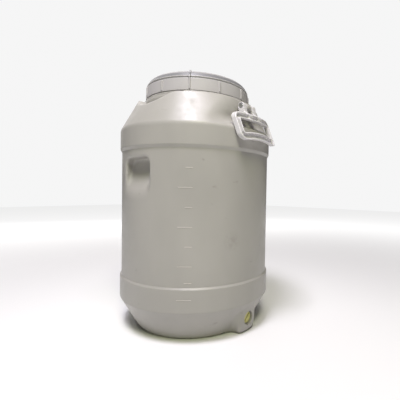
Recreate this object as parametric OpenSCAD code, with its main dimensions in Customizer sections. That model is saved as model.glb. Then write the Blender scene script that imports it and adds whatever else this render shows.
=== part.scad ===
// Wide-mouth plastic fermenting drum with a screw lid, two swing handles and a plugged tap hole.
// Millimetres. +Z is up and the origin is the centre of the base on the ground.
// The tap boss and the front handle are at -Y, the rear handle at +Y, the hand grips at -X and +X.

/* [Drum] */
// Outer radius of the plain wall between the bands
body_r = 196.3; // [194:0.1:197]
// Outer radius of the lower band
low_band_r = 200; // [198:0.1:202]
// Outer radius of the upper band
top_band_r = 200.5; // [198:0.1:202]
// Radius at which the lower cone would meet the ground
base_r = 157; // [150:0.5:160]
// Thickness of the moulded wall
wall = 4; // [3:0.5:5]
// Height of the shoulder's crown
crown_z = 578; // [576:1:580]
// Outer radius of the crown
crown_r = 158; // [154:0.5:160]
// Height of the mouth's rim
rim_z = 622; // [618:1:624]

/* [Mouth and lid] */
// Outer radius of the neck, at the root of its thread
neck_r = 130; // [128:0.5:131]
// Rise of the mouth's thread in one turn
mouth_pitch = 12; // [10:0.5:14]
// Outer radius of the lid's skirt
lid_r = 139.8; // [139:0.1:141]
// Height of the closed lid's raised edge
lid_top_z = 634; // [632:1:636]
// Number of grip ribs round the lid
lid_ribs = 12; // [6:1:24]
// Radius of the airlock bore in the grommet
airlock_r = 4.75; // [4:0.25:6]

/* [Hand grips] */
// Half width of each grip
grip_half_w = 45; // [35:1:55]
// Height of the underside that the fingers pull on
grip_top_z = 424; // [410:1:430]
// Distance from the drum's axis to the back of the grip
grip_back = 168; // [160:1:180]

/* [Handles] */
// Half width of the handle's loop
handle_half_w = 69; // [60:1:74]
// Lean of the hanging loop from the vertical, degrees
handle_lean = 22; // [20:0.5:22.5]
// Distance from the drum's axis to the hinge pin
hinge_y = 172; // [171:0.5:173]
// Height of the hinge pin
hinge_z = 556; // [554:0.5:558]
// Radius of the hinge pin
pin_r = 3; // [2.5:0.5:4]

/* [Tap] */
// Height of the tap hole's axis
tap_z = 35; // [34:0.5:38]
// Distance from the drum's axis to the boss's face
tap_face = 187; // [184:0.5:190]
// Rise of the tap thread in one turn
tap_pitch = 5; // [4:0.5:6]

/* [Hidden] */
$fn = 96;

hdpe = [0.80, 0.78, 0.73];
lid_white = [0.80, 0.79, 0.79];
handle_white = [0.92, 0.92, 0.94];
steel = [0.72, 0.73, 0.75];
plug_yellow = [0.82, 0.80, 0.38];
seal_black = [0.10, 0.10, 0.10];
gasket_grey = [0.55, 0.56, 0.57];

// Large enough to pass right through the drum
beyond = 260;
gap = 0.3;

// Profile of the drum
cone_slope = tan(27.8);
low_band_z = 77.3;
low_step_z = 126;
body_z = 137.5;
top_step_z = 443;
top_band_z = 450;
top_band_end_z = crown_z - (top_band_r - crown_r) / cone_slope;
slant_wall = wall / cos(27.8);
collar_r = 141.5;
collar_z = 584.3;
mouth_r = neck_r - 4;

// Thread of the mouth and of the lid
thread_z = 593;
thread_w = 4;
thread_r = neck_r + 4.8;
thread_turns = 1.5;
lid_thread_z = 586.5;
lid_thread_r = 131.6;

// Lid: its outside and inside outlines as [radius, height, corner radius]
skirt_z = 585.5;
panel_z = lid_top_z - 4;
panel_under_z = lid_top_z - 7.8;
lid_outline = [
    [0, skirt_z, 0], [lid_r, skirt_z, 1], [lid_r - 1.1, 614.5, 1], [136.8, 616, 0],
    [136.8, 618, 0], [138, 619.5, 0.8], [132.4, lid_top_z - 5.3, 3], [127, lid_top_z, 3],
    [120, lid_top_z, 3], [116, panel_z, 3], [0, panel_z, 0]];
lid_inside = [
    [0, skirt_z - 5], [136.3, skirt_z - 5], [136.3, 613.5], [131.3, 620],
    [131.3, panel_under_z], [0, panel_under_z]];
first_rib = 7.7;
rib_w = 4;
rib_z = 588;
rib_h = 25;
lug_rib_side = [
    [131, 600], [132, rib_z], [lid_r + 2.2, rib_z], [lid_r + 2.2, 617],
    [131, lid_top_z + 2], [127.5, lid_top_z + 2], [124.5, lid_top_z - 1]];
grommet_hole_r = 7.5;

// Scoops in the crown over the hand grips
scoop_r = 92.5;
scoop_z = 645;

// Flat pockets in the shoulder behind the handles
flat_y = 160;
ledge_z = 509;
ledge_end_z = 497;
ledge_end_y = 230;

// Hand grips
grip_ramp_z = 388;
grip_ramp_slope = 1.91;
grip_corner_r = 15;

// Volume marks, in the drum's litres from the top one down
mark_h = 1.6;
mark_out = 0.6;
mark_top_z = 398.8;
mark_step = 43.7;
low_mark_z = 143.5;
low_mark_step = 36.8;
mark_end = -46.4;
short_mark = 5;
long_mark = 9.6;

// Handles
loop_top_z = 533;
loop_low_z = 465;
loop_front_r = 199.3;
loop_depth = 13;
window_half_w = 56;
window_top_z = 517;
window_low_z = 483;
arch_rise = 5;
arch_r = window_half_w * window_half_w / (2 * arch_rise) + arch_rise / 2;
flange = 3.2;
web = 5;
ear_in = 11.5;
ear_out = 25.3;
ear_r = 9;
pin_fit = 0.05;
pin_head_r = 5.6;
pin_head_h = 2;
ear_recess_r = 7;
ear_recess = 3.5;
lug_half_w = 8.5;
lug_r = 8;
clip_h = 0.8;
ear_side = [
    [hinge_y - ear_r, hinge_z, 0], [hinge_y + ear_r, hinge_z, 0], [184, 541, 6],
    [200.5, 529, 0], [199, 519.5, 0], [192, 519.5, 0], [168, 533, 8]];
lug_side = [
    [flat_y - 1, hinge_z + 14], [hinge_y, hinge_z + lug_r],
    [hinge_y + lug_r - 0.5, hinge_z - 2], [flat_y - 1, hinge_z - 26]];

// Tap boss
boss_r = 34;
boss_round = 15;
foot_half_w = 30;
foot_round = 12;
boss_wall = 5;
socket_r = 19;
socket_in = 163;
tap_bore_r = 10.7;
tap_ridge = 1.3;
tap_ridge_w = 1.6;
tap_turns = 2.2;
tap_thread = socket_in + 1;
counterbore_r = 16.2;
counterbore = 10;
plug_head_r = 14;
plug_sunk = 3;
seal_h = 2;
stem_r = 9;
stem_h = 15.5;
slot_w = 3.2;
slot_depth = 2;
seal_seat = tap_face - counterbore;
head_back = seal_seat + seal_h + 2 * gap;

function unit(v) = v / norm(v);

// Points of an arc of radius r that rounds the corner at c between before and after
function corner_arc(before, c, after, r, steps) =
    let (u = unit(before - c), w = unit(after - c), half = acos(u * w) / 2,
         centre = c + unit(u + w) * r / sin(half),
         s = c + u * r / tan(half) - centre,
         e = c + w * r / tan(half) - centre,
         a = atan2(s.y, s.x),
         turn = (atan2(e.y, e.x) - a + 540) % 360 - 180)
    [for (k = [0 : steps]) centre + r * [cos(a + turn * k / steps), sin(a + turn * k / steps)]];

// Outline with each corner [x, y, radius] rounded, or sharp where the radius is 0
function rounded(corners, steps = 5) =
    let (n = len(corners), at = function (i) [corners[(i + n) % n].x, corners[(i + n) % n].y])
    [for (i = [0 : n - 1])
        each (corners[i].z > 0 ? corner_arc(at(i - 1), at(i), at(i + 1), corners[i].z, steps) : [at(i)])];

// Rectangle from -half_w to half_w and low to high, with rounded corners
function round_box(half_w, low, high, r) =
    rounded([[-half_w, low, r], [half_w, low, r], [half_w, high, r], [-half_w, high, r]]);

// Extrudes an outline of [distance out, height] sideways across the front, from x = from to x = to
module across(outline, from, to)
    translate([from, 0, 0]) rotate([90, 0, 90]) linear_extrude(to - from)
        polygon([for (p = outline) [-p.x, p.y]]);

// Extrudes a front view, drawn as x and height, from y = -near to y = -far
module outwards(near, far)
    translate([0, -near, 0]) rotate([90, 0, 0]) linear_extrude(far - near) children();

// Copies for the front and the rear, or for the left and the right
module front_and_rear() for (a = [0, 180]) rotate(a) children();
module left_and_right() for (a = [-90, 90]) rotate(a) children();

// A square thread: short ring segments that climb the pitch in small steps. They overlap by about
// a millimetre, and every other one is a hair thinner, so that no two of their round faces coincide
module thread_ridge(in_r, out_r, start_z, pitch, turns, ridge_w, steps)
    for (k = [0 : round(turns * steps) - 1])
        let (hair = ridge_w / 40 * (k % 2))
        translate([0, 0, start_z + pitch * k / steps])
            rotate(360 * k / steps)
                rotate_extrude(angle = 360 / steps + 60 / in_r)
                    translate([in_r + hair, 0]) square([out_r - in_r - 2 * hair, ridge_w]);

// ---- Drum ----

module outer_form()
    rotate_extrude() polygon(rounded([
        [0, 0, 0], [base_r, 0, 10], [low_band_r, low_band_z, 8], [low_band_r, low_step_z, 3],
        [body_r, body_z, 3], [body_r, top_step_z, 3], [top_band_r, top_band_z, 3],
        [top_band_r, top_band_end_z, 20], [crown_r, crown_z, 2.5], [collar_r, crown_z, 1.5],
        [collar_r, collar_z, 1], [neck_r, collar_z, 0], [neck_r, rim_z, 1], [0, rim_z, 0]]));

module inner_form()
    rotate_extrude() polygon(rounded([
        [0, wall, 0], [base_r - slant_wall + 2, wall, 8], [low_band_r - wall, low_band_z + 1, 8],
        [low_band_r - wall, low_step_z - 1, 3], [body_r - wall, body_z + 1, 3],
        [body_r - wall, top_step_z - 1, 3], [top_band_r - wall, top_band_z - 1, 3],
        [top_band_r - wall, top_band_end_z - 1, 18], [crown_r - 1.5, crown_z - wall, 2.5],
        [collar_r - wall, crown_z - wall, 1], [collar_r - wall, collar_z - wall, 1],
        [mouth_r, collar_z - wall, 1], [mouth_r, rim_z + 5, 0], [0, rim_z + 5, 0]]));

// Horizontal scoop out of the crown, at the front, grown by grow
module scoop(grow)
    difference() {
        translate([0, 0, scoop_z]) rotate([90, 0, 0]) cylinder(r = scoop_r + grow, h = beyond);
        cylinder(r = collar_r - grow, h = beyond * 3);
    }

// Flat pocket behind a handle, at the front, grown by grow
module flat_pocket(grow)
    across(rounded([[flat_y - grow, crown_z + 60, 0], [flat_y - grow, ledge_z - grow, 18],
                    [ledge_end_y, ledge_end_z - grow, 0], [ledge_end_y, crown_z + 60, 0]]),
           -beyond / 2, beyond / 2);

// Hand grip recess, at the front, grown by grow
module hand_grip(grow)
    let (back = grip_back - grow, top = grip_top_z + grow, ramp = grip_ramp_z - grow / 4,
         end = ramp - grip_ramp_slope * (beyond - back))
    intersection() {
        across(rounded([[back, top, 6], [back, ramp, 20], [beyond, end, 0], [beyond, top, 0]]),
               -grip_half_w - grow, grip_half_w + grow);
        outwards(back - 1, beyond)
            polygon(round_box(grip_half_w + grow, end, top, grip_corner_r + grow));
    }

// Boss that carries the tap hole, shrunk by shrink: a round dome on a foot that reaches the ground
module tap_boss(shrink)
    let (r = boss_r - shrink, face = tap_face - shrink, low = shrink ? wall : 0) {
        intersection() {
            translate([0, 0, tap_z]) rotate([90, 0, 0])
                rotate_extrude() polygon(rounded([
                    [0, 120, 0], [r, 120, 0], [r, face, boss_round], [0, face, 0]]));
            translate([-beyond / 2, -beyond, low]) cube([beyond, beyond, beyond]);
        }
        intersection() {
            outwards(120, beyond) polygon(rounded([
                [-foot_half_w + shrink, low, foot_round], [foot_half_w - shrink, low, foot_round],
                [r, tap_z, 0], [-r, tap_z, 0]]));
            across(rounded([[120, low, 0], [face, low, foot_round], [face, tap_z, 0], [120, tap_z, 0]]),
                   -r, r);
            linear_extrude(tap_z) polygon(rounded([
                [-r, -120, 0], [-r, -face, boss_round], [r, -face, boss_round], [r, -120, 0]]));
        }
    }

// Lug that a handle hinges on, at the front
module hinge_lug()
    difference() {
        union() {
            translate([-lug_half_w, -hinge_y, hinge_z]) rotate([0, 90, 0])
                cylinder(r = lug_r, h = 2 * lug_half_w);
            across(lug_side, -lug_half_w, lug_half_w);
        }
        pin_hole(pin_r + 0.02);
    }

module pin_hole(r)
    translate([-beyond / 2, -hinge_y, hinge_z]) rotate([0, 90, 0]) cylinder(r = r, h = beyond);

// Raised line on the wall at height z, from the marks' shared end
module volume_mark(r, z, span)
    translate([0, 0, z - mark_h / 2]) rotate(mark_end - 90 - span)
        rotate_extrude(angle = span) translate([r - 1, 0]) square([1 + mark_out, mark_h]);

module volume_marks() {
    for (i = [0 : 5])
        volume_mark(body_r, mark_top_z - i * mark_step, i % 2 ? long_mark : short_mark);
    volume_mark(body_r, low_mark_z, short_mark);
    volume_mark(low_band_r, low_mark_z - low_mark_step, long_mark);
}

module along_tap(from, to, r)
    translate([0, -from, tap_z]) rotate([90, 0, 0]) cylinder(r = r, h = to - from);

module drum() color(hdpe) {
    difference() {
        union() {
            difference() {
                outer_form();
                left_and_right() scoop(0);
                left_and_right() hand_grip(0);
                front_and_rear() flat_pocket(0);
            }
            tap_boss(0);
        }
        difference() {
            union() {
                difference() {
                    inner_form();
                    left_and_right() scoop(wall);
                    left_and_right() hand_grip(wall);
                    front_and_rear() flat_pocket(wall);
                }
                tap_boss(boss_wall);
            }
            along_tap(socket_in, tap_face, socket_r);
        }
        along_tap(socket_in - 5, tap_face + 5, tap_bore_r);
        along_tap(tap_face - counterbore, tap_face + 5, counterbore_r);
    }
    front_and_rear() hinge_lug();
    volume_marks();
    thread_ridge(neck_r - 1, thread_r, thread_z, mouth_pitch, thread_turns, thread_w, 36);
    translate([0, 0, tap_z]) rotate([90, 0, 0])
        thread_ridge(tap_bore_r - tap_ridge, tap_bore_r + 0.6, tap_thread, tap_pitch, tap_turns,
                     tap_ridge_w, 24);
}

// ---- Lid, gasket and grommet ----

// The n-th grip rib stands at +X before it is turned to its place
module at_rib(n) rotate(first_rib + n * 360 / lid_ribs - 90) children();

module lid_rib() translate([lid_r - 2, -rib_w / 2, rib_z]) cube([3.8, rib_w, rib_h]);

// Taller rib that runs over the chamfer and stands above the lid's edge
module lug_rib()
    translate([0, rib_w / 2, 0]) rotate([90, 0, 0]) linear_extrude(rib_w) polygon(lug_rib_side);

module lid() color(lid_white) {
    difference() {
        union() {
            rotate_extrude() polygon(rounded(lid_outline));
            for (n = [0 : lid_ribs - 1]) at_rib(n) lid_rib();
            at_rib(-2) lug_rib();
            at_rib(-2 + lid_ribs / 2) lug_rib();
        }
        rotate_extrude() polygon(lid_inside);
        translate([0, 0, panel_under_z - 1]) cylinder(r = grommet_hole_r, h = 10);
    }
    thread_ridge(lid_thread_r, 137.3, lid_thread_z, mouth_pitch, thread_turns, thread_w, 36);
}

module lid_gasket() color(gasket_grey)
    rotate_extrude() polygon(rounded([
        [mouth_r - 1.2, rim_z + gap, 0.5], [neck_r + 0.6, rim_z + gap, 0.5],
        [neck_r + 0.6, panel_under_z - gap, 0.5], [mouth_r - 1.2, panel_under_z - gap, 0.5]]));

// Rubber grommet whose waist sits in the lid's hole
module airlock_grommet() color(seal_black)
    let (waist = grommet_hole_r - 0.05, low = panel_under_z - 2.8, high = panel_z + 2.6)
    difference() {
        rotate_extrude() polygon(rounded([
            [0, low, 0], [10.5, low, 1], [10.5, panel_under_z - 0.1, 1], [waist, panel_under_z - 0.1, 0],
            [waist, panel_z + 0.1, 0], [11, panel_z + 0.1, 1], [11, high, 1], [0, high, 0]]));
        translate([0, 0, low - 5]) cylinder(r = airlock_r, h = 20);
    }

// ---- Handles ----

// Round piece that arches the edge at height low, and follows it when the edge moves up by inset
module arch(low, inset) translate([0, low + arch_rise - arch_r]) circle(r = arch_r + inset);

// Outer and inner edge of the loop, seen from the front, moved into its bars by inset
module loop_edge(inset)
    difference() {
        polygon(round_box(handle_half_w - inset, loop_low_z + inset, loop_top_z - inset, 16 - inset));
        arch(loop_low_z, inset);
    }

module window_edge(inset)
    difference() {
        polygon(round_box(window_half_w + inset, window_low_z - inset, window_top_z + inset, 4 + inset));
        arch(window_low_z, -inset);
    }

// Leaning shell that the loop is cut from, between two distances behind its front face
module loop_shell(near, far)
    let (lean = tan(handle_lean) * (loop_top_z - loop_low_z + 20),
         front = loop_front_r - tan(handle_lean) * 10)
    rotate(-90 - 30) rotate_extrude(angle = 60) polygon([
        [front - far, loop_top_z + 10], [front - near, loop_top_z + 10],
        [front - near + lean, loop_low_z - 10], [front - far + lean, loop_low_z - 10]]);

// Side view of an ear: round at the hinge, then bent out to the loop's top bar
module ear(from, to) {
    translate([from, -hinge_y, hinge_z]) rotate([0, 90, 0]) cylinder(r = ear_r, h = to - from);
    across(rounded(ear_side), from, to);
}

module handle() {
    difference() {
        union() {
            difference() {
                intersection() {
                    loop_shell(0, loop_depth);
                    outwards(150, beyond) loop_edge(0);
                }
                outwards(140, beyond + 10) window_edge(0);
                intersection() {
                    loop_shell(-6, loop_depth - web);
                    outwards(150, beyond) difference() {
                        loop_edge(flange);
                        window_edge(flange);
                    }
                }
            }
            ear(ear_in, ear_out);
            ear(-ear_out, -ear_in);
        }
        pin_hole(pin_r + pin_fit);
        for (side = [-1, 1])
            translate([side * (ear_out - ear_recess + beyond / 2), -hinge_y, hinge_z]) rotate([0, 90, 0])
                cylinder(r = ear_recess_r, h = beyond, center = true);
    }
}

module hinge_pin()
    translate([0, -hinge_y, hinge_z]) rotate([0, 90, 0]) {
        translate([0, 0, -ear_out + 1]) cylinder(r = pin_r, h = 2 * ear_out - 1);
        translate([0, 0, -ear_out + ear_recess - gap - pin_head_h])
            cylinder(r1 = pin_head_r - 0.8, r2 = pin_head_r, h = 0.8);
        translate([0, 0, -ear_out + ear_recess - gap - pin_head_h + 0.8])
            cylinder(r = pin_head_r, h = pin_head_h - 0.8);
    }

// Push-on star clip that holds the pin's plain end
module pin_clip()
    translate([ear_out - ear_recess + gap, -hinge_y, hinge_z]) rotate([0, 90, 0])
        difference() {
            cylinder(r = pin_head_r, h = clip_h);
            translate([0, 0, -1]) cylinder(r = pin_r - 0.02, h = 3);
            for (a = [0 : 60 : 300]) rotate(a) translate([pin_r - 0.6, -0.5, -1]) cube([1.6, 1, 3]);
        }

module front_handle() color(handle_white) handle();
module rear_handle() color(handle_white) rotate(180) handle();
module front_hinge_pin() color(steel) hinge_pin();
module rear_hinge_pin() color(steel) rotate(180) hinge_pin();
module front_pin_clip() color(steel) pin_clip();
module rear_pin_clip() color(steel) rotate(180) pin_clip();

// ---- Tap plug ----

module tap_plug() color(plug_yellow)
    difference() {
        union() {
            along_tap(head_back, tap_face - plug_sunk, plug_head_r);
            along_tap(head_back - stem_h, head_back + 1, stem_r);
            translate([0, 0, tap_z]) rotate([90, 0, 0])
                thread_ridge(stem_r - 0.6, tap_bore_r - 0.4, tap_thread + tap_pitch / 2, tap_pitch, 2,
                             tap_ridge_w, 24);
        }
        translate([0, plug_sunk - tap_face, tap_z]) rotate([0, -45, 0])
            translate([3 - plug_head_r, -2, -slot_w / 2])
                cube([2 * plug_head_r - 6, 2 + slot_depth, slot_w]);
    }

module tap_plug_seal() color(seal_black)
    difference() {
        along_tap(seal_seat + gap, seal_seat + gap + seal_h, plug_head_r + 0.5);
        along_tap(seal_seat - 5, seal_seat + 10, tap_bore_r - 0.1);
    }

drum();
lid();
lid_gasket();
airlock_grommet();
front_handle();
rear_handle();
front_hinge_pin();
rear_hinge_pin();
front_pin_clip();
rear_pin_clip();
tap_plug();
tap_plug_seal();
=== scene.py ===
"""A wide-mouth plastic fermenting drum: screw lid, swing handles, hand grips and a plugged tap boss.

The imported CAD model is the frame. Each moulded piece is skinned over a smooth signed distance
function of its CAD node's shape, so that its edges are blended as a real moulding's are. Those
functions work in millimetres and return the distance outside the surface. The front is at -Y.
Meshes, lights and the camera are in metres.
"""
import math

import bmesh
import bpy
import numpy as np
from mathutils import Matrix, Vector


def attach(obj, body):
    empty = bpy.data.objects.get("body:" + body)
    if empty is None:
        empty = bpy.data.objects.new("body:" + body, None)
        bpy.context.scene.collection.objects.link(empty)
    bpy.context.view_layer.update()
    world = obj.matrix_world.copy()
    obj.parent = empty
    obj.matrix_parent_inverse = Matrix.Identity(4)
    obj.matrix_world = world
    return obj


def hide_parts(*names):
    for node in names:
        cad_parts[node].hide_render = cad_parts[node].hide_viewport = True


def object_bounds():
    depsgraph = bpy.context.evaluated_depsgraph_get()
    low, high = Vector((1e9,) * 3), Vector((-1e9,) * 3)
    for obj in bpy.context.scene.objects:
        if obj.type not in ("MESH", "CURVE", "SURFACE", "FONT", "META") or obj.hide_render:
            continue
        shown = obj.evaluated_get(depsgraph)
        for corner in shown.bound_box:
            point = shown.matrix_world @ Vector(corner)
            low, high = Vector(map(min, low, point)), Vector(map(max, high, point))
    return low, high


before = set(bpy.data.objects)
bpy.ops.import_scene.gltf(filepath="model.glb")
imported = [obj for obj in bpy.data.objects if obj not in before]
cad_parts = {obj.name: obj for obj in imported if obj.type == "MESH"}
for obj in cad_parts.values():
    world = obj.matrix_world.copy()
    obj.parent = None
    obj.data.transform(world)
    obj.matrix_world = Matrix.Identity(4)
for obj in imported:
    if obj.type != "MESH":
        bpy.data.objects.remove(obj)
cad_low, cad_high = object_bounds()

MM = 0.001


# ---- Camera, light and floor ----

def add_camera():
    """Stands to the left of the front handle, a little above half the drum's height."""
    azimuth, distance, height = math.radians(-43.5), 0.8579, 0.3479
    heading, pitch, roll = math.radians(36.4), math.radians(-1.54), math.radians(1.04)
    forward = Vector((math.cos(heading) * math.cos(pitch), math.sin(heading) * math.cos(pitch),
                      math.sin(pitch)))
    level_right = Vector((math.sin(heading), -math.cos(heading), 0))
    level_up = level_right.cross(forward)
    right = level_right * math.cos(roll) + level_up * math.sin(roll)
    up = level_up * math.cos(roll) - level_right * math.sin(roll)
    data = bpy.data.cameras.new("camera")
    data.lens, data.sensor_width, data.shift_x = 26.73, 36, -0.125
    camera = bpy.data.objects.new("camera", data)
    bpy.context.scene.collection.objects.link(camera)
    turn = Matrix((right, up, -forward)).transposed().to_4x4()
    place = Vector((math.sin(azimuth) * distance, -math.cos(azimuth) * distance, height))
    camera.matrix_world = Matrix.Translation(place) @ turn
    bpy.context.scene.camera = camera


DRUM_MIDDLE = Vector((0, 0, 0.32))
LIGHT_DISTANCE = 2.2


def add_area_light(name, azimuth, elevation, size, watts, colour):
    """A square soft light that looks at the drum's middle from a direction in degrees."""
    data = bpy.data.lights.new(name, "AREA")
    data.shape, data.size, data.energy, data.color = "SQUARE", size, watts, colour
    lamp = bpy.data.objects.new(name, data)
    bpy.context.scene.collection.objects.link(lamp)
    turn, tilt = math.radians(azimuth), math.radians(elevation)
    back = Vector((math.sin(turn) * math.cos(tilt), -math.cos(turn) * math.cos(tilt), math.sin(tilt)))
    lamp.location = DRUM_MIDDLE + back * LIGHT_DISTANCE
    lamp.rotation_mode = "QUATERNION"
    lamp.rotation_quaternion = back.to_track_quat("Z", "Y")


FLOOR_HALF = 6.0
GLOW_START, GLOW_END, GLOW_STRENGTH = 0.6, 2.9, 0.8


def add_floor():
    """Pale, and glowing far from the drum, where the lights no longer reach."""
    mesh = bpy.data.meshes.new("floor")
    half, z = FLOOR_HALF, cad_low.z
    mesh.from_pydata([(-half, -half, z), (half, -half, z), (half, half, z), (-half, half, z)],
                     [], [(0, 1, 2, 3)])
    floor = bpy.data.objects.new("floor", mesh)
    bpy.context.scene.collection.objects.link(floor)
    material = bpy.data.materials.new("floor")
    material.use_nodes = True
    nodes, links = material.node_tree.nodes, material.node_tree.links
    shader = nodes["Principled BSDF"]
    shader.inputs["Base Color"].default_value = (0.90, 0.90, 0.90, 1)
    shader.inputs["Roughness"].default_value = 0.9
    shader.inputs["Emission Color"].default_value = (1, 1, 1, 1)
    where, span = nodes.new("ShaderNodeTexCoord"), nodes.new("ShaderNodeVectorMath")
    span.operation = "LENGTH"
    glow = nodes.new("ShaderNodeMapRange")
    glow.interpolation_type = "SMOOTHSTEP"
    glow.inputs["From Min"].default_value = GLOW_START
    glow.inputs["From Max"].default_value = GLOW_END
    glow.inputs["To Max"].default_value = GLOW_STRENGTH
    links.new(where.outputs["Object"], span.inputs[0])
    links.new(span.outputs["Value"], glow.inputs["Value"])
    links.new(glow.outputs[0], shader.inputs["Emission Strength"])
    mesh.materials.append(material)


def add_world():
    """Pale where the camera sees it, and a very dim, warm light on the drum."""
    world = bpy.data.worlds.new("studio")
    world.use_nodes = True
    nodes, links = world.node_tree.nodes, world.node_tree.links
    fill = nodes["Background"]
    fill.inputs["Color"].default_value = (1, 0.98, 0.88, 1)
    fill.inputs["Strength"].default_value = 0.03
    wall = nodes.new("ShaderNodeBackground")
    wall.inputs["Color"].default_value = (1, 1, 1, 1)
    wall.inputs["Strength"].default_value = 0.92
    seen = nodes.new("ShaderNodeLightPath")
    mix = nodes.new("ShaderNodeMixShader")
    links.new(seen.outputs["Is Camera Ray"], mix.inputs["Fac"])
    links.new(fill.outputs[0], mix.inputs[1])
    links.new(wall.outputs[0], mix.inputs[2])
    links.new(mix.outputs[0], nodes["World Output"].inputs["Surface"])
    bpy.context.scene.world = world


bpy.context.scene.view_settings.view_transform = "Standard"
add_camera()
add_world()
add_floor()
add_area_light("key", azimuth=-68, elevation=66, size=0.55, watts=46, colour=(0.88, 0.85, 0.95))
add_area_light("front", azimuth=-40, elevation=48, size=0.55, watts=16, colour=(0.95, 1, 0.62))
add_area_light("top", azimuth=-30, elevation=62, size=0.55, watts=10, colour=(0.94, 0.80, 1))
add_area_light("back", azimuth=150, elevation=38, size=2.6, watts=22, colour=(1, 0.98, 0.95))


# ---- Distance functions, in millimetres ----

def smooth_max(a, b, k):
    """The greater of a and b, with the crease between them rounded over about k."""
    overlap = np.maximum(k - np.abs(a - b), 0)
    return np.maximum(a, b) + overlap * overlap / (4 * k)


def smooth_min(a, b, k):
    """The lesser of a and b, with the crease between them filled in over about k."""
    return -smooth_max(-a, -b, k)


def rounded(corners, steps=6):
    """Outline of [x, y, radius] corners, each rounded by an arc where its radius isn't 0."""
    points = []
    count = len(corners)
    for i, (x, y, radius) in enumerate(corners):
        corner = np.array([x, y], float)
        if radius == 0:
            points.append(corner)
            continue
        before = np.array(corners[i - 1][:2], float) - corner
        after = np.array(corners[(i + 1) % count][:2], float) - corner
        before /= np.hypot(*before)
        after /= np.hypot(*after)
        half = math.acos(np.clip(before @ after, -1, 1)) / 2
        middle = before + after
        centre = corner + middle / np.hypot(*middle) * radius / math.sin(half)
        start = corner + before * radius / math.tan(half) - centre
        end = corner + after * radius / math.tan(half) - centre
        first = math.atan2(start[1], start[0])
        turn = (math.atan2(end[1], end[0]) - first + 3 * math.pi) % (2 * math.pi) - math.pi
        for k in range(steps + 1):
            angle = first + turn * k / steps
            points.append(centre + radius * np.array([math.cos(angle), math.sin(angle)]))
    return np.array(points)


def outline_distance(outline, x, y):
    """Signed distance from each point to a closed outline."""
    nearest = np.full(np.shape(x), np.inf)
    inside = np.zeros(np.shape(x), bool)
    for (ax, ay), (bx, by) in zip(outline, np.roll(outline, -1, axis=0)):
        ex, ey = bx - ax, by - ay
        along = np.clip(((x - ax) * ex + (y - ay) * ey) / max(ex * ex + ey * ey, 1e-12), 0, 1)
        nearest = np.minimum(nearest, (x - ax - along * ex) ** 2 + (y - ay - along * ey) ** 2)
        if ay != by:
            crosses = ((ay > y) != (by > y)) & (x < ax + (y - ay) * ex / ey)
            inside ^= crosses
    return np.where(inside, -1, 1) * np.sqrt(nearest)


def lathe(outline, cell):
    """Distance function of radius and height for a body turned from an outline."""
    pad = 12
    low = outline.min(0) - pad
    count = ((outline.max(0) + pad - low) / cell).astype(int) + 2
    rs = low[0] + cell * np.arange(count[0])
    zs = low[1] + cell * np.arange(count[1])
    table = outline_distance(outline, *np.meshgrid(rs, zs, indexing="ij"))

    def distance(r, z):
        # Held just inside the last cell, so that its far corner is still in the table.
        i = np.clip((r - low[0]) / cell, 0, count[0] - 1.001)
        k = np.clip((z - low[1]) / cell, 0, count[1] - 1.001)
        i0, k0 = i.astype(int), k.astype(int)
        a, b = i - i0, k - k0
        return ((table[i0, k0] * (1 - a) + table[i0 + 1, k0] * a) * (1 - b)
                + (table[i0, k0 + 1] * (1 - a) + table[i0 + 1, k0 + 1] * a) * b)
    return distance


def round_box(x, y, half_w, half_h, radius):
    """Signed distance to a rectangle about the origin with rounded corners."""
    qx, qy = np.abs(x) - half_w + radius, np.abs(y) - half_h + radius
    return np.hypot(np.maximum(qx, 0), np.maximum(qy, 0)) + np.minimum(np.maximum(qx, qy), 0) - radius


# ---- Skinning ----

def lines(*stretches):
    """Grid lines along one axis, from stretches of (from, to, step)."""
    values = [np.arange(a, b - step / 2, step) for a, b, step in stretches]
    return np.concatenate(values + [[stretches[-1][1]]])


def skin(distance, across, around, up, turned):
    """Quads near the surface, one point for each grid cell that it passes through.

    The grid is x, y and height, or, where turned, radius, angle in degrees and height.
    """
    def place(a, b, c):
        if turned:
            angle = np.radians(b)
            return a * np.cos(angle), a * np.sin(angle), c
        return a, b, c

    inside = np.stack([distance(*place(*np.broadcast_arrays(a, around[:, None], up[None, :]))) < 0
                       for a in across])
    if turned:
        inside = np.concatenate([inside, inside[:, :1]], axis=1)
        around = np.concatenate([around, [around[0] + 360]])
    count = sum(inside[i:len(across) - 1 + i, j:len(around) - 1 + j, k:len(up) - 1 + k].astype(np.int8)
                for i in (0, 1) for j in (0, 1) for k in (0, 1))
    active = (count > 0) & (count < 8)
    index = np.full(active.shape, -1)
    index[active] = np.arange(active.sum())
    mids = [(line[1:] + line[:-1]) / 2 for line in (across, around, up)]
    i, j, k = np.nonzero(active)
    points = np.stack(place(mids[0][i], mids[1][j], mids[2][k]), axis=1)
    quads = []
    for axis in range(3):
        step = np.zeros(3, int)
        step[axis] = 1
        size = np.array(inside.shape) - step
        change = (inside[:size[0], :size[1], :size[2]] != inside[step[0]:, step[1]:, step[2]:])
        at = np.argwhere(change)
        others = [n for n in range(3) if n != axis]
        if turned and axis != 1:
            at = at[at[:, 1] < len(around) - 1]
        ring = []
        for shift in ((0, 0), (1, 0), (1, 1), (0, 1)):
            cell = at.copy()
            cell[:, others[0]] -= shift[0]
            cell[:, others[1]] -= shift[1]
            if turned:
                cell[:, 1] %= active.shape[1]
            ring.append(index[tuple(cell.T)])
        quads.append(np.stack(ring, axis=1))
    quads = np.concatenate(quads)
    quads = quads[quads.min(1) >= 0]
    if turned and across[0] == 0:
        points, quads = close_centre(points, quads, inside, index, mids[2])
    return points, quads


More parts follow.
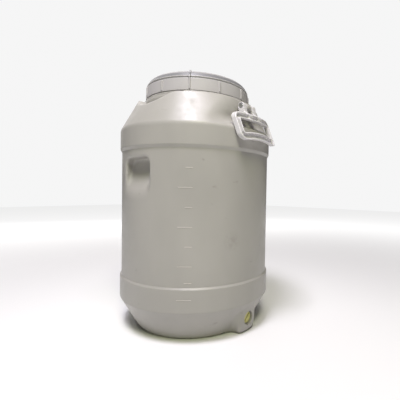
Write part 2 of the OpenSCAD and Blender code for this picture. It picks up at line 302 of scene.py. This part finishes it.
def close_centre(points, quads, inside, index, heights):
    """Fills the hole that a turned grid leaves round its axis, with quads that meet in one point."""
    for k in np.nonzero(inside[0, 0, :-1] != inside[0, 0, 1:])[0]:
        ring = index[0, :, k]
        points = np.concatenate([points, [[0, 0, heights[k]]]])
        turn = np.arange(0, len(ring), 2)
        middle = np.full(len(turn), len(points) - 1)
        fan = [ring[turn], ring[(turn + 1) % len(ring)], ring[(turn + 2) % len(ring)], middle]
        quads = np.concatenate([quads, np.stack(fan, axis=1)])
    return points, quads


def gradient(distance, points, step=0.15):
    """The distance at each point, and how it changes along x, y and z there."""
    here = distance(*points.T)
    ahead = [distance(*(points + step * np.eye(3)[n]).T) for n in range(3)]
    slope = np.stack([(value - here) / step for value in ahead], axis=1)
    return here, slope


LEAST_SLOPE_SQUARED = 0.2


def settle(points, faces, distance, rounds, limit):
    """Evens the points out and draws them onto the surface, moving each at most limit at a time."""
    edges = np.concatenate([faces[:, [n, (n + 1) % faces.shape[1]]] for n in range(faces.shape[1])])
    edges = np.concatenate([edges, edges[:, ::-1]])
    degree = np.maximum(np.bincount(edges[:, 0], minlength=len(points)), 1)
    for turn in range(rounds + 1):
        if turn:
            mean = np.stack([np.bincount(edges[:, 0], points[edges[:, 1], n], len(points))
                             for n in range(3)], axis=1) / degree[:, None]
            points = points + 0.5 * (mean - points)
        for _ in range(2):
            here, slope = gradient(distance, points)
            move = here / np.maximum((slope ** 2).sum(1), LEAST_SLOPE_SQUARED)
            points = points - np.clip(move, -limit, limit)[:, None] * slope
    return points


def make_object(name, points, faces):
    """A mesh object from points in millimetres and faces of equal corner counts."""
    mesh = bpy.data.meshes.new(name)
    mesh.vertices.add(len(points))
    mesh.vertices.foreach_set("co", (points * MM).astype(np.float32).ravel())
    corners = faces.shape[1]
    mesh.loops.add(faces.size)
    mesh.loops.foreach_set("vertex_index", faces.astype(np.int32).ravel())
    mesh.polygons.add(len(faces))
    mesh.polygons.foreach_set("loop_start", np.arange(0, faces.size, corners, dtype=np.int32))
    mesh.update(calc_edges=True)
    piece = bpy.data.objects.new(name, mesh)
    bpy.context.scene.collection.objects.link(piece)
    return piece


def apply_modifiers(piece):
    bpy.context.view_layer.objects.active = piece
    for modifier in list(piece.modifiers):
        with bpy.context.temp_override(object=piece):
            bpy.ops.object.modifier_apply(modifier=modifier.name)


def points_of(mesh):
    """The mesh's points in millimetres."""
    flat = np.zeros(len(mesh.vertices) * 3, np.float32)
    mesh.vertices.foreach_get("co", flat)
    return flat.reshape(-1, 3).astype(float) / MM


def face_outwards(points, faces, distance):
    """Turns each face so that it looks away from the plastic."""
    a, b, c = points[faces[:, 0]], points[faces[:, 1]], points[faces[:, 2]]
    normal = np.cross(b - a, c - a) + np.cross(c - a, points[faces[:, -1]] - a)
    _, slope = gradient(distance, points[faces].mean(1))
    wrong = (normal * slope).sum(1) < 0
    faces = faces.copy()
    faces[wrong] = faces[wrong][:, ::-1]
    return faces


MOST_TRIANGLES = 190000
DRAW_LIMIT = 0.5


def moulded(name, distance, across, around, up, turned):
    """A closed mesh over a distance function, smooth shaded with that function's own normals."""
    points, faces = skin(distance, across, around, up, turned)
    points = settle(points, faces, distance, rounds=3, limit=2.5)
    faces = face_outwards(points, faces, distance)
    piece = make_object(name, points, faces)
    if 2 * len(faces) > MOST_TRIANGLES:
        thin = piece.modifiers.new("thin", "DECIMATE")
        thin.ratio = MOST_TRIANGLES / (2 * len(faces))
        apply_modifiers(piece)
        points = points_of(piece.data)
        here, slope = gradient(distance, points)
        points -= np.clip(here, -DRAW_LIMIT, DRAW_LIMIT)[:, None] * slope
        piece.data.vertices.foreach_set("co", (points * MM).astype(np.float32).ravel())
    shade_by(piece, distance)
    return piece


def shade_by(piece, distance):
    """Smooth shading, with the normals that the distance function has at the mesh's points."""
    points = points_of(piece.data)
    _, slope = gradient(distance, points, step=0.4)
    slope /= np.maximum(np.linalg.norm(slope, axis=1, keepdims=True), 1e-6)
    piece.data.shade_smooth()
    piece.data.normals_split_custom_set_from_vertices([tuple(v) for v in slope])


# ---- Drum ----

WALL = 4
BASE_R = 157
BODY_R, LOW_BAND_R, TOP_BAND_R = 196.3, 200, 200.35
LOW_BAND_Z, LOW_STEP_Z, LOW_STEP_END_Z = 77.3, 129.4, 133.8
TOP_STEP_Z, TOP_BAND_Z = 443, 450
SHOULDER_SLOPE = math.tan(math.radians(27.8))
CROWN_Z, CROWN_R = 578, 158
TOP_BAND_END_Z = CROWN_Z - (TOP_BAND_R - CROWN_R) / SHOULDER_SLOPE
COLLAR_R, COLLAR_Z = 141.5, 584.3
NECK_R, RIM_Z = 130, 622
OPEN_NECK_Z = RIM_Z - 14
SCOOP_R, SCOOP_Z = 92.5, 645
TAP_Z, TAP_FACE = 35, 187
BOSS_R, BOSS_ROUND = 34, 15
FOOT_HALF_W, FOOT_HALF_H, FOOT_ROUND = 32, 24, 14
SOCKET_R, SOCKET_BACK = 19, 163
TAP_HOLE_R = 10.7
SEAT_R, SEAT_OUT = 16.2, 177
HINGE_Y, HINGE_Z = 172, 556
KNUCKLE_R, LUG_HALF_W = 8, 8.5

drum_turned = lathe(rounded([
    [0, 0, 0], [BASE_R, 0, 10], [LOW_BAND_R, LOW_BAND_Z, 8], [LOW_BAND_R, LOW_STEP_Z, 2],
    [BODY_R, LOW_STEP_END_Z, 2], [BODY_R, TOP_STEP_Z, 4], [TOP_BAND_R, TOP_BAND_Z, 4],
    [TOP_BAND_R, TOP_BAND_END_Z, 20], [CROWN_R, CROWN_Z, 5], [COLLAR_R, CROWN_Z, 2.5],
    [COLLAR_R, COLLAR_Z, 1.5], [NECK_R, COLLAR_Z, 1.5], [NECK_R, RIM_Z, 1.6], [0, RIM_Z, 0]]),
    cell=0.5)


def scoop(y, z, r):
    """Hollow in the crown over each hand grip."""
    return np.maximum(np.hypot(y, z - SCOOP_Z) - SCOOP_R, COLLAR_R - r)


def hand_grip(out, side, z):
    """Recess with a level roof, an upright back and a floor that slopes out and down."""
    back, half_width, top = 168, 45, 424
    ramp, slope = 388, 1.91
    steep = math.hypot(1, slope)
    floor = (ramp - slope * (out - back) - z) / steep
    depth = smooth_max(back - out, floor, 20)
    sides = smooth_max(np.abs(side) - half_width, floor, 14)
    sides = smooth_max(sides, z - top, 22)
    return smooth_max(depth, smooth_max(sides, z - top, 4), 6)


def flat_pocket(out, z):
    """Flat in the shoulder behind a handle, on a ledge that slopes out and down."""
    back, ledge_z, fall, run = 160, 509, 12, 70
    cosine = 0.986
    ledge = (ledge_z - (out - back) * fall / run - z) * cosine
    return smooth_max(back - out, ledge, 24)


def tap_boss(x, out, z):
    """Round dome on a foot that reaches the ground."""
    wide, deep = np.hypot(x, z - TAP_Z) - BOSS_R + BOSS_ROUND, out - TAP_FACE + BOSS_ROUND
    corner = np.hypot(np.maximum(wide, 0), np.maximum(deep, 0))
    dome = corner + np.minimum(np.maximum(wide, deep), 0) - BOSS_ROUND
    side = round_box(x, z - FOOT_HALF_H, FOOT_HALF_W, FOOT_HALF_H, FOOT_ROUND)
    foot = smooth_max(side, out - TAP_FACE, FOOT_ROUND)
    return smooth_min(dome, foot, 6)


LUG_SIDE = np.array([
    [159, HINGE_Z + 14], [HINGE_Y, HINGE_Z + 8], [HINGE_Y + 7.5, HINGE_Z - 2], [159, HINGE_Z - 26]])


def hinge_lug(x, out, z):
    """Solid plate that a handle's pin goes through."""
    plate = outline_distance(LUG_SIDE, out, z)
    knuckle = np.hypot(out - HINGE_Y, z - HINGE_Z) - KNUCKLE_R
    return smooth_max(smooth_min(plate, knuckle, 4), np.abs(x) - LUG_HALF_W, 2)


def drum_distance(x, y, z):
    """An even wall under the outside form, open at the mouth, with the tap's socket and the lugs."""
    r = np.hypot(x, y)
    out = np.abs(y)
    front = y < -100
    near_lug = (z > 520) & (np.abs(x) < 40)
    form = drum_turned(r, z)
    form = smooth_max(form, -scoop(y, z, r), 6)
    form = smooth_max(form, -hand_grip(np.abs(x), y, z), 7)
    form = smooth_max(form, -flat_pocket(out, z), 14)
    form = np.where(front, smooth_min(form, tap_boss(x, -y, z), 14), form)
    form = smooth_max(form, -z, 1.5)
    shell = smooth_max(form, -form - WALL, 0.6)
    mouth = np.maximum(r - NECK_R + WALL, OPEN_NECK_Z - z)
    shell = smooth_max(shell, -mouth, 1.2)
    bore = np.hypot(x, z - TAP_Z)
    socket = np.maximum(np.maximum(form, bore - SOCKET_R), SOCKET_BACK + y)
    shell = np.where(front, np.minimum(shell, socket), shell)
    shell = np.where(front, smooth_max(shell, TAP_HOLE_R - bore, 0.5), shell)
    shell = np.where(front, smooth_max(shell, np.minimum(SEAT_R - bore, -y - SEAT_OUT), 0.8), shell)
    if near_lug.any():
        lug = hinge_lug(x[near_lug], out[near_lug], z[near_lug])
        shell[near_lug] = smooth_min(shell[near_lug], lug, 4)
    return shell


def drum_angles():
    """Finer at the boss, lugs, scoops and hand grips, and most of all at the grips' sides."""
    return lines((-180, -170, 1), (-170, -164, 0.5), (-164, -142, 1), (-142, -110, 1.6),
                 (-110, -79, 0.7), (-79, -38, 1.6), (-38, -16, 1), (-16, -10, 0.5), (-10, 10, 1),
                 (10, 16, 0.5), (16, 38, 1), (38, 79, 1.6), (79, 101, 0.7), (101, 142, 1.6),
                 (142, 164, 1), (164, 170, 0.5), (170, 180, 1))[:-1]


drum_radii = lines((0, 90, 15), (90, 120, 6), (120, 204, 1.6))
drum_heights = lines((-1.5, 56, 1.5), (56, 74, 3), (74, 80, 1.5), (80, 122, 4), (122, 128, 1.5),
                     (128, 135.2, 0.9), (135.2, 140, 1.6), (140, 325, 6), (325, 430, 2.5),
                     (430, 452, 1.5), (452, 490, 3), (490, 560, 1.8), (560, 624.5, 1.5))


# ---- Lid ----

LID_Z = 585.5
SKIRT_IN_R, INSIDE_TOP = 136.3, 618
FIRST_RIB, RIB_STEP = 7.7 - 90, 30
RIB_IN, RIB_OUT, RIB_HALF_W = 132, 141.6, 2
RIB_MID_Z, RIB_HALF_H = 600.5, 12.5
LUG_RIB = -2

lid_turned = lathe(rounded([
    [139.8, LID_Z, 1], [138.7, 614.5, 1], [136.8, 616, 0.4], [136.8, 618, 0.4], [138, 619.5, 0.8],
    [132.4, 628.7, 3], [127, 634, 3], [120, 634, 3], [116, 630, 3], [7.5, 630, 0.6],
    [7.5, 626.2, 0.6], [131.3, 626.2, 2], [131.3, 620, 2], [SKIRT_IN_R, 613.5, 2],
    [SKIRT_IN_R, LID_Z, 0.8]]), cell=0.3)

LUG_RIB_SIDE = rounded([
    [131, 600, 0], [132, 588, 0], [142, 588, 1.5], [142, 617, 3], [131, 636, 3], [127.5, 636, 2],
    [124.5, 633, 0]])


def lid_distance(x, y, z):
    """The turned cap with its grip ribs, two of which run on over the chamfer."""
    r = np.hypot(x, y)
    form = lid_turned(r, z)
    angle = np.degrees(np.arctan2(y, x)) - FIRST_RIB
    off = np.radians((angle + RIB_STEP / 2) % RIB_STEP - RIB_STEP / 2)
    side, out = np.abs(r * np.sin(off)), r * np.cos(off)
    near_rib = (side < 8) & (r > 120)
    if near_rib.any():
        side, out, high = side[near_rib], out[near_rib], z[near_rib]
        rib = np.maximum(out - RIB_OUT, RIB_IN - out)
        rib = smooth_max(rib, np.abs(high - RIB_MID_Z) - RIB_HALF_H, 1.6)
        rib = smooth_max(rib, side - RIB_HALF_W, 1.6)
        lug = smooth_max(outline_distance(LUG_RIB_SIDE, out, high), side - RIB_HALF_W, 1.4)
        number = np.round(angle[near_rib] / RIB_STEP)
        rib = np.where((number - LUG_RIB) % 6 == 0, np.minimum(rib, lug), rib)
        inside = np.maximum(out - SKIRT_IN_R, high - INSIDE_TOP)
        form[near_rib] = smooth_min(form[near_rib], np.maximum(rib, -inside), 1.2)
    return form


def lid_angles():
    """Finer across each grip rib."""
    step = lines((-15, -2, 1.3), (-2, 2, 0.25), (2, 15, 1.3))[:-1]
    return np.concatenate([FIRST_RIB + RIB_STEP * n + step for n in range(12)])


# ---- Handles ----

LOOP_TOP, LOOP_LOW, LOOP_HALF_W, LOOP_FRONT, LOOP_DEPTH = 533, 465, 69, 199.3, 13
WINDOW_TOP, WINDOW_LOW, WINDOW_HALF_W = 517, 483, 56
FLANGE, CHANNEL = 3.2, 8
LEAN = math.radians(22)
ARCH_R, ARCH_RISE = 316.1, 5
EAR_IN, EAR_OUT, EAR_R = 11.6, 25.2, 8.9
RECESS_R, RECESS_FLOOR, PIN_HOLE_R = 7, 21.8, 3.05
EAR_SIDE = rounded([
    [163, HINGE_Z, 0], [181, HINGE_Z, 0], [184, 541, 6], [200.5, 529, 1], [199, 519.5, 1],
    [192, 519.5, 1], [168, 533, 8]])


def arched_box(x, z, half_w, low, high, radius):
    """A rounded box whose lower edge arches up in the middle."""
    box = round_box(x, z - (low + high) / 2, half_w, (high - low) / 2, radius)
    arch = ARCH_R - np.hypot(x, z - low - ARCH_RISE + ARCH_R)
    return smooth_max(box, arch, 2)


def handle_distance(x, y, z):
    """The front handle, hanging: a channelled loop on two ears with a bent arm each."""
    deep = LOOP_FRONT + (LOOP_TOP - z) * math.tan(LEAN) - np.hypot(x, y)
    edge = arched_box(x, z, LOOP_HALF_W, LOOP_LOW, LOOP_TOP, radius=16)
    window = arched_box(x, z, WINDOW_HALF_W, WINDOW_LOW, WINDOW_TOP, radius=4)
    shell = np.maximum(-deep, deep - LOOP_DEPTH) * math.cos(LEAN)
    bar = smooth_max(edge, -window, 1)
    loop = smooth_max(shell, bar, 2.2)
    loop = smooth_max(loop, -smooth_max(bar + FLANGE, (deep - CHANNEL) * math.cos(LEAN), 3), 1.4)
    round_hinge = np.hypot(y + HINGE_Y, z - HINGE_Z)
    plate = np.minimum(outline_distance(EAR_SIDE, -y, z), round_hinge - EAR_R)
    wide = np.abs(x)
    ear = smooth_max(plate, np.abs(wide - (EAR_IN + EAR_OUT) / 2) - (EAR_OUT - EAR_IN) / 2, 2)
    form = smooth_min(loop, ear, 4)
    form = smooth_max(form, -np.maximum(round_hinge - RECESS_R, RECESS_FLOOR - wide), 0.8)
    return smooth_max(form, PIN_HOLE_R - round_hinge, 0.4)


# ---- Tap plug ----

HEAD_R, HEAD_MID, HEAD_HALF = 14, 181.8, 2.2
STEM_R, STEM_MID, STEM_HALF = 9, 173, 8.9
SLOT_HALF_W, SLOT_HALF_LENGTH, SLOT_FLOOR = 1.6, 11, 182


def plug_distance(x, y, z):
    """A slotted head on a stem, along the tap hole's axis."""
    out, up = -y, z - TAP_Z
    r = np.hypot(x, up)
    head = smooth_max(r - HEAD_R, np.abs(out - HEAD_MID) - HEAD_HALF, 1.6)
    stem = smooth_max(r - STEM_R, np.abs(out - STEM_MID) - STEM_HALF, 1)
    along, across = np.abs(x + up) / math.sqrt(2), np.abs(x - up) / math.sqrt(2)
    slot = np.maximum(across - SLOT_HALF_W, along - SLOT_HALF_LENGTH)
    slot = smooth_max(slot, SLOT_FLOOR - out, 0.6)
    return smooth_max(smooth_min(head, stem, 0.8), -slot, 0.8)


# ---- Swept ridges and marks ----

def sweep(name, sections):
    """A closed strip through equal rings of points, capped at both ends."""
    rings = np.array(sections)
    count, size = rings.shape[:2]
    points = rings.reshape(-1, 3)
    row = np.arange(count - 1)[:, None] * size
    k = np.arange(size)[None, :]
    following = (k + 1) % size
    sides = np.stack([row + k, row + following, row + size + following, row + size + k], axis=2)
    piece = make_object(name, points, sides.reshape(-1, 4))
    shape = bmesh.new()
    shape.from_mesh(piece.data)
    bmesh.ops.holes_fill(shape, edges=shape.edges[:], sides=size)
    bmesh.ops.recalc_face_normals(shape, faces=shape.faces[:])
    shape.to_mesh(piece.data)
    shape.free()
    piece.data.shade_smooth()
    return piece


def ridge_section(root_r, crest_r, width, swell):
    """Rounded ridge section as (radius, height) pairs, shrunk towards its root by swell."""
    rise = np.array([0, 0.55, 0.86, 1, 1, 0.86, 0.55, 0])
    half = np.array([-0.5, -0.47, -0.41, -0.3, 0.3, 0.41, 0.47, 0.5])
    return root_r + (crest_r - root_r) * rise * swell, width * (0.5 + half * (0.4 + 0.6 * swell))


END_TAPER = 14


def helix(name, root_r, crest_r, start, pitch, turns, width, step, tap):
    """A thread ridge that starts over +X, upright or, for the tap, along its hole's axis.

    It grows to its full section over END_TAPER degrees at each end.
    """
    sections = []
    for angle in np.arange(0, 360 * turns + step / 2, step):
        run_in = min(angle, 360 * turns - angle) / END_TAPER
        r, up = ridge_section(root_r, crest_r, width, 0.08 + 0.92 * min(1, run_in))
        a = math.radians(angle)
        height = start + pitch * angle / 360 + up
        x, y = r * math.cos(a), r * math.sin(a)
        ring = [x, -height, y + TAP_Z] if tap else [x, y, height]
        sections.append(np.stack(ring, axis=1))
    return sweep(name, sections)


MARK_END = -46.4
MARK_HALF_W, LONG_MARK, SHORT_MARK = 0.8, 9.6, 5
TOP_MARK_Z, MARK_STEP = 398.8, 43.7
MARKS = [(BODY_R, TOP_MARK_Z - MARK_STEP * n, LONG_MARK if n % 2 else SHORT_MARK) for n in range(6)]
MARKS += [(BODY_R, 143.5, SHORT_MARK), (LOW_BAND_R, 106.7, LONG_MARK)]


def mark(r, z, span):
    """Sections of a raised line, span degrees long, with rounded ends.

    Its right-hand end is MARK_END degrees from the front, as every other mark's is.
    """
    sections = []
    for turn in np.linspace(0, 1, 41):
        end = min(turn, 1 - turn) * math.radians(span) * r
        swell = math.sqrt(min(1, 0.04 + end / MARK_HALF_W))
        a = math.radians(MARK_END - 90 - span * (1 - turn))
        level = np.array([-MARK_HALF_W, -0.74, -0.56, -0.3, 0.3, 0.56, 0.74, MARK_HALF_W])
        proud = np.array([-0.4, 0.25, 0.46, 0.56, 0.56, 0.46, 0.25, -0.4])
        reach = r + proud * swell
        sections.append(np.stack([reach * math.cos(a), reach * math.sin(a), z + level * swell], axis=1))
    return sections


# ---- Materials ----

class Look:
    """A material whose colour, roughness and grain are built up from procedural textures."""

    def __init__(self, name, metallic=0):
        self.material = bpy.data.materials.new(name)
        self.material.use_nodes = True
        self.nodes, self.links = self.material.node_tree.nodes, self.material.node_tree.links
        self.shader = self.nodes["Principled BSDF"]
        self.shader.inputs["Metallic"].default_value = metallic
        self.where = self.nodes.new("ShaderNodeTexCoord").outputs["Object"]

    def noise(self, scale, detail, stretch=(1, 1, 1)):
        """Cloudy values about 0.5, finer along an axis where its stretch is greater than 1."""
        spread = self.nodes.new("ShaderNodeMapping")
        spread.inputs["Scale"].default_value = stretch
        texture = self.nodes.new("ShaderNodeTexNoise")
        texture.inputs["Scale"].default_value = scale
        texture.inputs["Detail"].default_value = detail
        self.links.new(self.where, spread.inputs["Vector"])
        self.links.new(spread.outputs[0], texture.inputs["Vector"])
        return texture.outputs["Fac"]

    def place(self, axis):
        """Each point's own X, Y or Z, in metres."""
        split = self.nodes.new("ShaderNodeSeparateXYZ")
        self.links.new(self.where, split.inputs[0])
        return split.outputs[axis]

    def remap(self, value, from_low, from_high, to_low, to_high):
        """Values between the first two numbers carried over to between the last two."""
        node = self.nodes.new("ShaderNodeMapRange")
        self.links.new(value, node.inputs["Value"])
        for name, number in (("From Min", from_low), ("From Max", from_high), ("To Min", to_low),
                             ("To Max", to_high)):
            node.inputs[name].default_value = number
        return node.outputs[0]

    def blend(self, share, below, above):
        """Mixes two colours, each either a socket or a plain colour."""
        node = self.nodes.new("ShaderNodeMix")
        node.data_type = "RGBA"
        self.links.new(share, node.inputs["Factor"])
        for name, colour in (("A", below), ("B", above)):
            socket = [s for s in node.inputs if s.name == name and s.type == "RGBA"][0]
            if isinstance(colour, tuple):
                socket.default_value = (*colour, 1)
            else:
                self.links.new(colour, socket)
        return [s for s in node.outputs if s.type == "RGBA"][0]

    def product(self, a, b):
        """One share multiplied by another."""
        node = self.nodes.new("ShaderNodeMath")
        node.operation = "MULTIPLY"
        self.links.new(a, node.inputs[0])
        self.links.new(b, node.inputs[1])
        return node.outputs[0]

    def spot(self, centre, radius, share):
        """A cloudy patch round a point, in metres, that fades out at its radius."""
        node = self.nodes.new("ShaderNodeVectorMath")
        node.operation = "DISTANCE"
        node.inputs[1].default_value = centre
        self.links.new(self.where, node.inputs[0])
        fade = self.remap(node.outputs["Value"], 0, radius, share, 0)
        return self.product(fade, self.remap(self.noise(90, 4), 0.38, 0.58, 0.1, 1))

    def finish(self, colour, roughness, grain, depth, strength):
        """Joins up the shader, with grain as a bump of this depth in metres."""
        self.links.new(colour, self.shader.inputs["Base Color"])
        self.links.new(roughness, self.shader.inputs["Roughness"])
        bump = self.nodes.new("ShaderNodeBump")
        bump.inputs["Strength"].default_value = strength
        bump.inputs["Distance"].default_value = depth
        self.links.new(grain, bump.inputs["Height"])
        self.links.new(bump.outputs[0], self.shader.inputs["Normal"])
        return self.material


def shade(colour, amount):
    """A lighter or darker copy of a colour."""
    return tuple(min(1, part * amount) for part in colour)


DIRT = (0.20, 0.18, 0.15)


def polythene(name, colour, rough, stain=0.35, painted_shade_bands=(), spots=()):
    """Satin moulded plastic: cloudy, with rubbed patches, fine scratches and a pebbled grain.

    A band is painted shade, a darker colour between two places along an axis, given as (axis, low,
    high, soft edge, colour), and a spot is (centre, radius, share), in metres.
    """
    look = Look(name)
    cloud = look.remap(look.noise(7, 3, (1, 1, 0.5)), 0.35, 0.65, 0, 1)
    tint = look.blend(cloud, shade(colour, 0.94), shade(colour, 1.05))
    scratch = look.remap(look.noise(110, 4, (1, 1, 9)), 0.68, 0.74, 0, 0.22)
    tint = look.blend(scratch, tint, shade(colour, 1.28))
    scuff = look.remap(look.noise(34, 6, (1, 1, 1.8)), 0.68, 0.78, 0, stain)
    tint = look.blend(scuff, tint, DIRT)
    # Painted shade: each band blends the colour towards its own darker colour between low and high.
    for axis, low, high, soft, layer in painted_shade_bands:
        rise = look.remap(look.place(axis), low, low + soft, 0, 1)
        fall = look.remap(look.place(axis), high - soft, high, 1, 0)
        tint = look.blend(look.product(rise, fall), tint, layer)
    for centre, radius, share in spots:
        tint = look.blend(look.spot(centre, radius, share), tint, DIRT)
    roughness = look.remap(look.noise(46, 4), 0.3, 0.7, rough - 0.06, rough + 0.10)
    return look.finish(tint, roughness, look.noise(520, 3), 0.0004, 0.16)


def rubber(name, colour):
    """Dull rubber with dust on it."""
    look = Look(name)
    dust = look.remap(look.noise(90, 5), 0.45, 0.75, 0, 0.5)
    tint = look.blend(dust, colour, shade(colour, 2.4))
    roughness = look.remap(look.noise(60, 3), 0.3, 0.7, 0.55, 0.75)
    return look.finish(tint, roughness, look.noise(900, 3), 0.0003, 0.3)


def zinc_steel(name):
    """Zinc-plated steel in paler and darker patches."""
    look = Look(name, metallic=1)
    patch = look.remap(look.noise(160, 5), 0.4, 0.65, 0, 1)
    tint = look.blend(patch, (0.42, 0.43, 0.45), (0.62, 0.62, 0.60))
    roughness = look.remap(look.noise(240, 3), 0.3, 0.7, 0.26, 0.48)
    return look.finish(tint, roughness, look.noise(1400, 2), 0.0002, 0.25)


WALL_SCUFF = ((-0.064, -0.186, 0.233), 0.026, 0.3)
SHOULDER_SCUFF = ((-0.126, -0.118, 0.550), 0.012, 0.3)
# Painted shade on the lid: the darker bands over its groove, chamfer and flat top stand in for shading.
# The lid's own colour is even.
LID_GROOVE_SHADE = ("Z", 0.6142, 0.6184, 0.0006, (0.22, 0.215, 0.21))
LID_CHAMFER_SHADE = ("Z", 0.6202, 0.6300, 0.0008, (0.19, 0.19, 0.195))
LID_TOP_SHADE = ("Z", 0.6292, 0.7000, 0.0008, (0.35, 0.34, 0.34))
# Painted shade: the plug's slot is tinted dark to stand in for the shade inside it.
PLUG_SLOT_SHADE = ("Y", -0.1828, -0.1814, 0.0004, (0.08, 0.075, 0.02))

LOOKS = {
    "drum_hdpe": polythene("drum_hdpe", (0.385, 0.372, 0.342), 0.40,
                           spots=[WALL_SCUFF, SHOULDER_SCUFF]),
    "drum_marks": polythene("drum_marks", (0.52, 0.49, 0.45), 0.38, stain=0.15),
    "lid_hdpe": polythene("lid_hdpe", (0.45, 0.435, 0.43), 0.38, stain=0.25,
                          painted_shade_bands=[LID_GROOVE_SHADE, LID_CHAMFER_SHADE, LID_TOP_SHADE]),
    "handle_white": polythene("handle_white", (0.60, 0.585, 0.585), 0.30, stain=0.2),
    "plug_yellow": polythene("plug_yellow", (0.55, 0.52, 0.17), 0.34, stain=0.3, painted_shade_bands=[PLUG_SLOT_SHADE]),
    "gasket_rubber": rubber("gasket_rubber", (0.16, 0.165, 0.17)),
    "black_rubber": rubber("black_rubber", (0.025, 0.025, 0.025)),
    "pin_steel": zinc_steel("pin_steel"),
}


# ---- Pieces ----

def add(piece, node, slot, look=None, instead=False):
    """Gives a piece the material named by look, or else by slot, and its body. With instead, it
    replaces the node's CAD mesh.
    """
    piece.data.materials.append(LOOKS[look or slot])
    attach(piece, node)
    if instead:
        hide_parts(node)


def soften(node, slot, width):
    """Gives a CAD node its material, and edges rounded over width millimetres."""
    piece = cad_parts[node]
    piece.data.materials.clear()
    piece.data.materials.append(LOOKS[slot])
    bevel = piece.modifiers.new("edges", "BEVEL")
    bevel.width, bevel.segments, bevel.limit_method = width * MM, 2, "ANGLE"
    bevel.angle_limit = math.radians(40)
    bevel.harden_normals = True


add(moulded("drum_moulding", drum_distance, drum_radii, drum_angles(), drum_heights, turned=True),
    "drum", "drum_hdpe", instead=True)
lid_radii = lines((4.5, 11, 0.9), (11, 113, 6), (113, 143.5, 0.9))
lid_heights = lines((584, 612, 1.4), (612, 637.5, 0.75))
add(moulded("lid_moulding", lid_distance, lid_radii, lid_angles(), lid_heights, turned=True),
    "lid", "lid_hdpe", instead=True)
handle_across, handle_up = lines((-70.5, 70.5, 1.2)), lines((463, 567, 1.2))
add(moulded("front_handle_moulding", handle_distance,
            handle_across, lines((-228, -161, 1.2)), handle_up, turned=False),
    "front_handle", "handle_white", instead=True)
add(moulded("rear_handle_moulding", lambda x, y, z: handle_distance(-x, -y, z),
            handle_across, lines((161, 228, 1.2)), handle_up, turned=False),
    "rear_handle", "handle_white", instead=True)
add(moulded("tap_plug_moulding", plug_distance,
            lines((-15, 15, 0.6)), lines((-185, -163.2, 0.6)), lines((20, 50, 0.6)), turned=False),
    "tap_plug", "plug_yellow", instead=True)
wide_thread = {"pitch": 12, "turns": 1.5, "width": 3.8, "step": 4, "tap": False}
tap_thread = {"pitch": 5, "width": 1.5, "step": 8, "tap": True}
add(helix("mouth_thread", 129, 134.7, start=593.1, **wide_thread), "drum", "drum_hdpe")
add(helix("lid_thread", 137.2, 131.7, start=586.6, **wide_thread), "lid", "lid_hdpe")
add(helix("tap_thread", 11.2, 9.5, start=164.05, turns=2.2, **tap_thread), "drum", "drum_hdpe")
add(helix("plug_thread", 8.6, 10.2, start=166.55, turns=2, **tap_thread), "tap_plug", "plug_yellow")
for number, (r, z, span) in enumerate(MARKS, 1):
    add(sweep(f"volume_mark_{number}", mark(r, z, span)), "drum", "drum_hdpe", look="drum_marks")

# The replaced CAD meshes get the same materials as the mouldings that replace them.
replaced = {"drum": "drum_hdpe", "lid": "lid_hdpe", "front_handle": "handle_white",
            "rear_handle": "handle_white", "tap_plug": "plug_yellow"}
for node, slot in replaced.items():
    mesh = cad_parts[node].data
    mesh.materials.clear()
    mesh.materials.append(LOOKS[slot])

soften("lid_gasket", "gasket_rubber", 0.25)
soften("airlock_grommet", "black_rubber", 0.25)
soften("tap_plug_seal", "black_rubber", 0.2)
for place in ("front", "rear"):
    soften(place + "_hinge_pin", "pin_steel", 0.25)
    soften(place + "_pin_clip", "pin_steel", 0.12)
